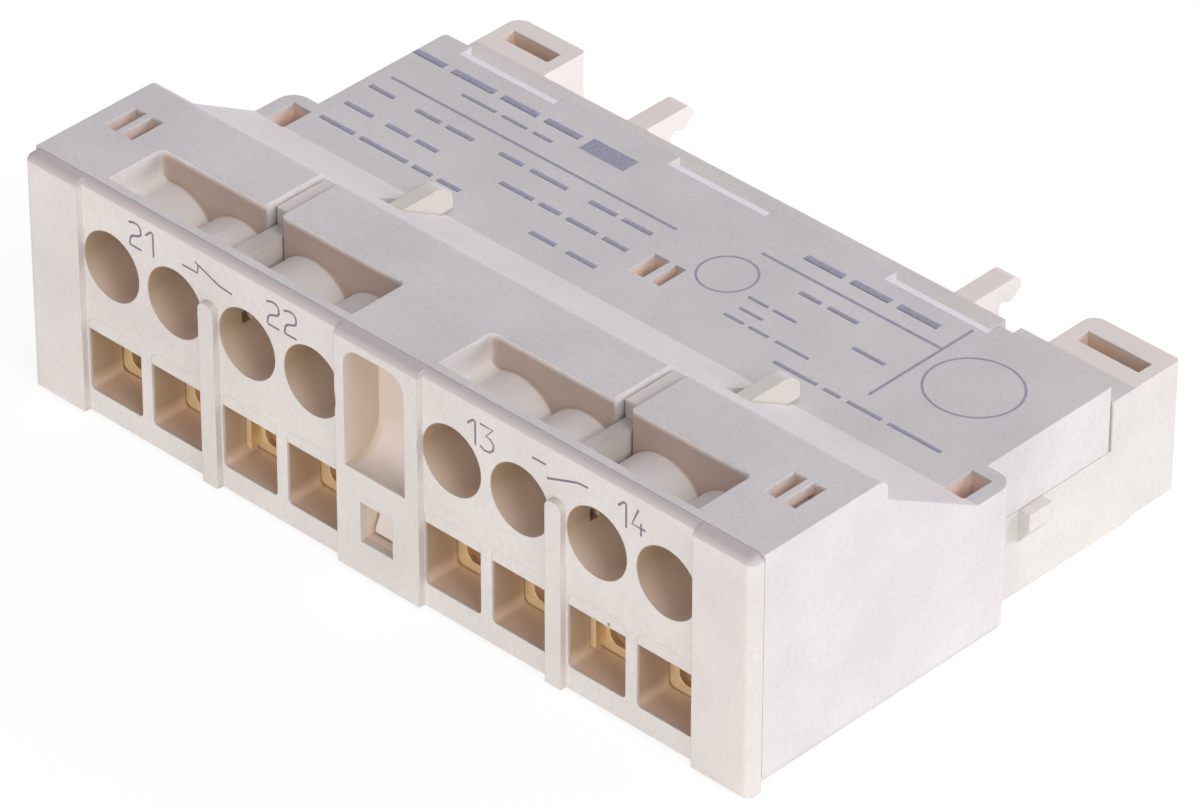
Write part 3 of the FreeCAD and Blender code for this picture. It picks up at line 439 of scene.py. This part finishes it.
finishes = {
    "terminal_front_plate": frontPlastic,
    "upper_housing": housingPlastic,
    "base_housing": basePlastic,
    "slider": acetalMaterial("grey_acetal"),
    "clamp_spring": metalMaterial("rolled_brass", metalLook["clamp"]),
    "terminal_strip": metalMaterial("stamped_brass", metalLook["strip"]),
    "bridge": metalMaterial("bridge_brass", metalLook["bridge"]),
    "fixed_contact": metalMaterial("silver_alloy", metalLook["tip"]),
    "return_spring": metalMaterial("spring_wire", metalLook["wire"]),
}
finishes["moving_contact"] = finishes["fixed_contact"]
finishes["contact_spring"] = finishes["return_spring"]

for name, part in nodes.items():
    kind = max((k for k in finishes if name.startswith(k)), key=len)
    part.data.materials.clear()
    part.data.materials.append(finishes[kind])
print("finishes on", len(nodes), "parts")


# coil springs, each with the body it rides on, the joint that moves the part it presses on,
# the end that stays on the body in millimetres and the share of its length that is left; only the body is
# used, so a coil keeps its length
coilLook = {
    "return_spring_nc": {"body": "nc_slider", "joint": "nc_slider_push", "end": 0.14, "keep": 0.5787},
    "return_spring_no": {"body": "no_slider", "joint": "no_slider_push", "end": 0.14, "keep": 0.5787},
    "contact_spring_nc": {"body": "nc_slider", "joint": "nc_bridge_overtravel", "end": 1.68,
                          "keep": 0.7345},
    "contact_spring_no": {"body": "no_slider", "joint": "no_bridge_overtravel", "end": 6.39,
                          "keep": 0.7345},
}


def addCoil(name, look):
    # a copy shown in place of the part's own spring, riding on its body; the copy keeps one length too
    part = nodes[name]
    coil = bpy.data.objects.new("moving_" + name, part.data.copy())
    bpy.context.scene.collection.objects.link(coil)
    bpy.context.view_layer.update()
    coil.matrix_world = part.matrix_world.copy()
    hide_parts(name)
    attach(coil, look["body"])
    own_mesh(coil)


for name, look in coilLook.items():
    addCoil(name, look)
print("coil springs in place")


# print

inkLook = {
    "label": {"tone": (152, 153, 172), "thin": (184, 183, 192), "share": 0.7},
    "mark": {"tone": (116, 110, 128), "thin": (146, 138, 150), "share": 0.8},
    "patchScale": 5.0, "fineScale": 9.0, "roughness": 0.55, "roughSpread": 0.1,
    "grain": 0.1, "grainHeight": 0.005, "thickness": 0.02,
}


def inkMaterial(name, look):
    # ink on grained plastic: it misses the tops of the grain here and there
    material, start = startMaterial(name)
    place = millimetres(start)
    patchy = noise(place, inkLook["patchScale"], 3.0, 0.6).between(0.45, 0.72) * look["share"]
    face = patchy.blend(colour(*look["tone"]), colour(*look["thin"]))
    fine = noise(place, inkLook["fineScale"], 3.0)
    relief = start.node("ShaderNodeBump", None,
                        {"Strength": inkLook["grain"], "Distance": inkLook["grainHeight"] * mm,
                         "Height": fine})
    rough = inkLook["roughness"] + fine * inkLook["roughSpread"]
    shader = start.node("ShaderNodeBsdfPrincipled", None,
                        {"Base Color": face, "Roughness": rough, "Normal": relief})
    return endMaterial(material, start, shader)


def addStroke(shape, points, width, rounded=False):
    # line of even width on the x-y plane, as flat as ink
    curve = bpy.data.curves.new("stroke", "CURVE")
    curve.dimensions = "3D"
    curve.bevel_depth = width / 2
    curve.bevel_resolution = 1
    curve.use_fill_caps = True
    spline = curve.splines.new("NURBS" if rounded else "POLY")
    spline.points.add(len(points) - 1)
    for point, (x, y) in zip(spline.points, points):
        point.co = (x, y, 0, 1)
    if rounded:
        spline.order_u = 3
        spline.use_endpoint_u = True
        spline.resolution_u = 3
    holder = bpy.data.objects.new("stroke", curve)
    mesh = bpy.data.meshes.new_from_object(holder)
    mesh.transform(Matrix.Scale(inkLook["thickness"] / width, 4, (0, 0, 1)))
    shape.from_mesh(mesh)
    bpy.data.objects.remove(holder)
    bpy.data.curves.remove(curve)
    bpy.data.meshes.remove(mesh)


def addPlate(shape, low, high):
    # rectangle of ink
    new = bmesh.ops.create_cube(shape, size=1.0)["verts"]
    size = (high[0] - low[0], high[1] - low[1], inkLook["thickness"])
    middle = ((low[0] + high[0]) / 2, (low[1] + high[1]) / 2, 0)
    bmesh.ops.scale(shape, vec=size, verts=new)
    bmesh.ops.translate(shape, vec=middle, verts=new)


def addRing(shape, centre, radii, width):
    # oval of even width
    start = bmesh.ops.create_circle(shape, segments=6, radius=width / 2)["verts"]
    bmesh.ops.rotate(shape, verts=start, matrix=Matrix.Rotation(math.pi / 2, 3, "X"))
    bmesh.ops.translate(shape, vec=(radii[0], 0, 0), verts=start)
    edges = list({edge for vert in start for edge in vert.link_edges})
    before = set(shape.verts) - set(start)
    bmesh.ops.spin(shape, geom=start + edges, axis=(0, 0, 1), cent=(0, 0, 0), angle=2 * math.pi,
                   steps=72, use_merge=True)
    new = [vert for vert in shape.verts if vert not in before]
    bmesh.ops.scale(shape, vec=(1, radii[1] / radii[0], inkLook["thickness"] / width), verts=new)
    bmesh.ops.translate(shape, vec=(centre[0], centre[1], 0), verts=new)


def finishPiece(name, shape, place, material):
    # millimetres become metres before the piece rides on the block
    bmesh.ops.recalc_face_normals(shape, faces=shape.faces)
    mesh = bpy.data.meshes.new(name)
    shape.to_mesh(mesh)
    shape.free()
    mesh.transform(Matrix.Scale(mm, 4) @ place)
    mesh.materials.append(material)
    piece = bpy.data.objects.new(name, mesh)
    bpy.context.scene.collection.objects.link(piece)
    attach(piece, "block_body")


# plain rules, a bar, two empty rings and rows of dashes where the cover is printed,
# x and y in millimetres from the middle of the block
coverPrint = {
    "height": 8.0, "ruleWidth": 0.15, "ringWidth": 0.14,
    "rules": [((-19.7, 5.76), (-1.65, 5.76)), ((2.55, 7.05), (13.17, 7.05)), ((13.33, 2.3), (13.33, 9.0))],
    "bar": ((-9.4, 7.52), (-6.6, 8.55)),
    "rings": [((2.5, 4.75), (1.42, 1.42)), ((16.3, 5.8), (2.34, 2.2))],
    "rows": [
        (8.15, 0.42, ((-20.6, -18.6), (-18.1, -15.4), (-14.9, -12.6), (-12.1, -9.9))),
        (7.0, 0.22, ((-16.4, -14.2), (-13.8, -12.2), (-11.8, -10.6))),
        (4.6, 0.3, ((-20.0, -18.4), (-17.0, -15.4), (-15.0, -13.3))),
        (2.8, 0.3, ((-19.8, -18.0), (-17.1, -15.6), (-15.2, -13.8))),
        (1.2, 0.3, ((-19.8, -17.6), (-17.2, -14.2), (-13.8, -12.6), (-12.2, -10.8))),
        (4.7, 0.3, ((-11.7, -10.2), (-9.7, -7.4), (-6.0, -4.3), (-3.9, -2.1))),
        (3.0, 0.3, ((-10.0, -7.9), (-7.5, -6.2), (-5.8, -3.9), (-3.5, -2.0))),
        (1.05, 0.3, ((-6.2, -4.6), (-3.9, -2.1))),
        (8.2, 0.42, ((4.1, 6.4), (6.9, 9.2), (9.7, 12.1))),
        (5.95, 0.28, ((5.8, 7.1), (7.5, 9.3))),
        (4.1, 0.2, ((4.4, 5.6), (5.9, 7.3))),
        (3.2, 0.2, ((4.7, 6.1),)),
        (2.4, 0.2, ((4.5, 5.7), (6.0, 7.2), (7.6, 9.6))),
        (1.2, 0.24, ((8.6, 11.2), (11.6, 12.6), (13.0, 15.0), (15.4, 18.5))),
        (4.4, 0.24, ((10.4, 12.3),)),
    ],
}


def coverMarks():
    look = coverPrint
    shape = bmesh.new()
    half = look["ruleWidth"] / 2
    for (x0, y0), (x1, y1) in look["rules"]:
        addPlate(shape, (x0 - half, y0 - half), (x1 + half, y1 + half))
    addPlate(shape, *look["bar"])
    for centre, radii in look["rings"]:
        addRing(shape, centre, radii, look["ringWidth"])
    for y, thick, dashes in look["rows"]:
        for x0, x1 in dashes:
            addStroke(shape, [(x0, y), (x1, y)], thick)
    ink = inkMaterial("label_ink", inkLook["label"])
    finishPiece("cover_print", shape, Matrix.Translation((0, 0, look["height"])), ink)


# plotted numerals in a box one high, rounded or straight
numerals = {
    "1": (True, [[(0, 0.74), (0.2, 0.98), (0.36, 1.0), (0.36, 0.8), (0.36, 0)]]),
    "2": (True, [[(0, 0.92), (0.22, 1.03), (0.55, 0.98), (0.62, 0.68), (0.5, 0.52), (0.08, 0.42),
                  (0.0, 0.02), (0.1, 0), (0.6, 0)]]),
    "3": (False, [[(0, 1.0), (0.62, 1.0), (0.27, 0.6), (0.48, 0.58), (0.64, 0.42), (0.62, 0.18),
                   (0.44, 0.02), (0.2, 0), (0, 0.1)]]),
    "4": (False, [[(0.34, 1.0), (0.04, 0.3), (0.66, 0.3)], [(0.46, 0.5), (0.46, 0)]]),
}
# where each number and symbol stands on the terminal face
faceMarks = {
    "depth": -14.55, "size": 1.28, "width": 0.115,
    "step": {"1": 0.74, "2": 1.08, "3": 1.0, "4": 1.0},
    "numbers": [("21", -15.8, 10.44), ("22", -7.05, 10.36), ("13", 5.28, 10.15), ("14", 14.22, 10.3)],
    "symbols": [
        [(-12.41, 10.94), (-11.43, 10.94), (-11.38, 11.38), (-11.56, 11.48)],
        [(-11.38, 11.4), (-10.05, 10.9), (-9.24, 10.83)],
        [(9.14, 11.22), (9.97, 11.22)],
        [(10.03, 10.56), (11.8, 11.2), (12.45, 11.25)],
    ],
}


def terminalMarks():
    look = faceMarks
    shape = bmesh.new()
    size = look["size"]
    for digits, x, z in look["numbers"]:
        for digit in digits:
            rounded, strokes = numerals[digit]
            for stroke in strokes:
                points = [(x + u * size, z + v * size) for u, v in stroke]
                addStroke(shape, points, look["width"], rounded)
            x += look["step"][digit]
    for symbol in look["symbols"]:
        addStroke(shape, symbol, look["width"])
    place = Matrix.Translation((0, look["depth"], 0)) @ Matrix.Rotation(math.pi / 2, 4, "X")
    ink = inkMaterial("mark_ink", inkLook["mark"])
    finishPiece("terminal_marks", shape, place, ink)


coverMarks()
terminalMarks()
print("print on the cover and the terminal face")


# floor, lamps and camera

stageLook = {
    "size": 6.0, "drop": 0.0002, "tone": (250, 250, 250), "cameraShare": 0.8, "white": 1.1,
}


def seenRays(start):
    # rays to the camera, reflected rays and rays through glass
    camera, glossy, through = (start.node("ShaderNodeLightPath", None, None, ray) for ray in (0, 3, 6))
    return start.maths("ADD", camera + glossy, through, True)


def makeFloor():
    # paper that shows mostly white and keeps the shadow of the block
    shape = bmesh.new()
    bmesh.ops.create_grid(shape, x_segments=1, y_segments=1, size=stageLook["size"] / 2)
    bmesh.ops.translate(shape, vec=(0, 0, -stageLook["drop"]), verts=shape.verts)
    mesh = bpy.data.meshes.new("floor")
    shape.to_mesh(mesh)
    shape.free()
    material, start = startMaterial("floor_paper")
    seen = seenRays(start) * stageLook["cameraShare"]
    paper = start.node("ShaderNodeBsdfDiffuse", None, {"Color": colour(*stageLook["tone"])})
    white = start.node("ShaderNodeEmission", None,
                       {"Color": (1, 1, 1, 1), "Strength": stageLook["white"]})
    shader = start.node("ShaderNodeMixShader", None, {0: seen, 1: paper, 2: white})
    mesh.materials.append(endMaterial(material, start, shader))
    floor = bpy.data.objects.new("floor", mesh)
    bpy.context.scene.collection.objects.link(floor)


# each lamp: where it stands, how wide it is and how strong, in metres and watts
lampLook = {
    "front": {"place": (0.3, -1.35, 0.09), "size": (1.2, 0.16), "power": 10.7,
              "tone": (1.0, 0.99, 0.965)},
    "side": {"place": (1.26, -0.26, 0.2), "size": (0.9, 0.4), "power": 1.5,
             "tone": (0.96, 1.0, 0.94)},
    "window": {"place": (0.92, -0.17, 0.75), "size": (0.6, 0.6), "power": 4.2,
               "tone": (0.98, 1.0, 0.97)},
    "rear": {"place": (0.56, 0.95, 0.44), "size": (0.9, 0.6), "power": 9.1,
             "tone": (0.94, 0.92, 1.0)},
}
roomLook = {"tone": (0.93, 0.9, 1.0, 1), "strength": 0.35}


def makeLamps():
    for name, look in lampLook.items():
        light = bpy.data.lights.new(name, "AREA")
        light.shape = "RECTANGLE"
        light.size, light.size_y = look["size"]
        light.energy = look["power"]
        light.color = look["tone"]
        lamp = bpy.data.objects.new("lamp_" + name, light)
        lamp.location = look["place"]
        lamp.rotation_euler = (-Vector(look["place"])).to_track_quat("-Z", "Y").to_euler()
        bpy.context.scene.collection.objects.link(lamp)


def makeRoom():
    # pale even light on the block, plain white behind it
    world = bpy.data.worlds.new("studio")
    world.use_nodes = True
    world.node_tree.nodes.clear()
    start = Link(world.node_tree)
    room = start.node("ShaderNodeBackground", None,
                      {"Color": roomLook["tone"], "Strength": roomLook["strength"]})
    white = start.node("ShaderNodeBackground", None, {"Color": (1, 1, 1, 1), "Strength": 1.0})
    shader = start.node("ShaderNodeMixShader", None, {0: seenRays(start), 1: room, 2: white})
    start.node("ShaderNodeOutputWorld", None, {"Surface": shader})
    bpy.context.scene.world = world


# place in millimetres, then where the camera looks and which way is up in the frame
cameraLook = {
    "place": (200.651, -209.88, 207.385), "forward": (-0.56538, 0.58896, -0.57747),
    "up": (-0.40087, 0.41566, 0.81641), "lens": 237.46, "sensor": 36, "near": 0.01, "far": 20,
}


def makeCamera():
    data = bpy.data.cameras.new("camera")
    data.sensor_width = cameraLook["sensor"]
    data.sensor_fit = "HORIZONTAL"
    data.lens = cameraLook["lens"]
    data.clip_start = cameraLook["near"]
    data.clip_end = cameraLook["far"]
    camera = bpy.data.objects.new("camera", data)
    back = -Vector(cameraLook["forward"]).normalized()
    up = Vector(cameraLook["up"])
    right = up.cross(back).normalized()
    up = back.cross(right)
    turn = Matrix((right, up, back)).transposed().to_4x4()
    camera.matrix_world = Matrix.Translation(Vector(cameraLook["place"]) * mm) @ turn
    bpy.context.scene.collection.objects.link(camera)
    bpy.context.scene.camera = camera


makeFloor()
makeLamps()
makeRoom()
makeCamera()
bpy.context.scene.view_settings.view_transform = "Standard"
print("floor, lamps and camera in place")
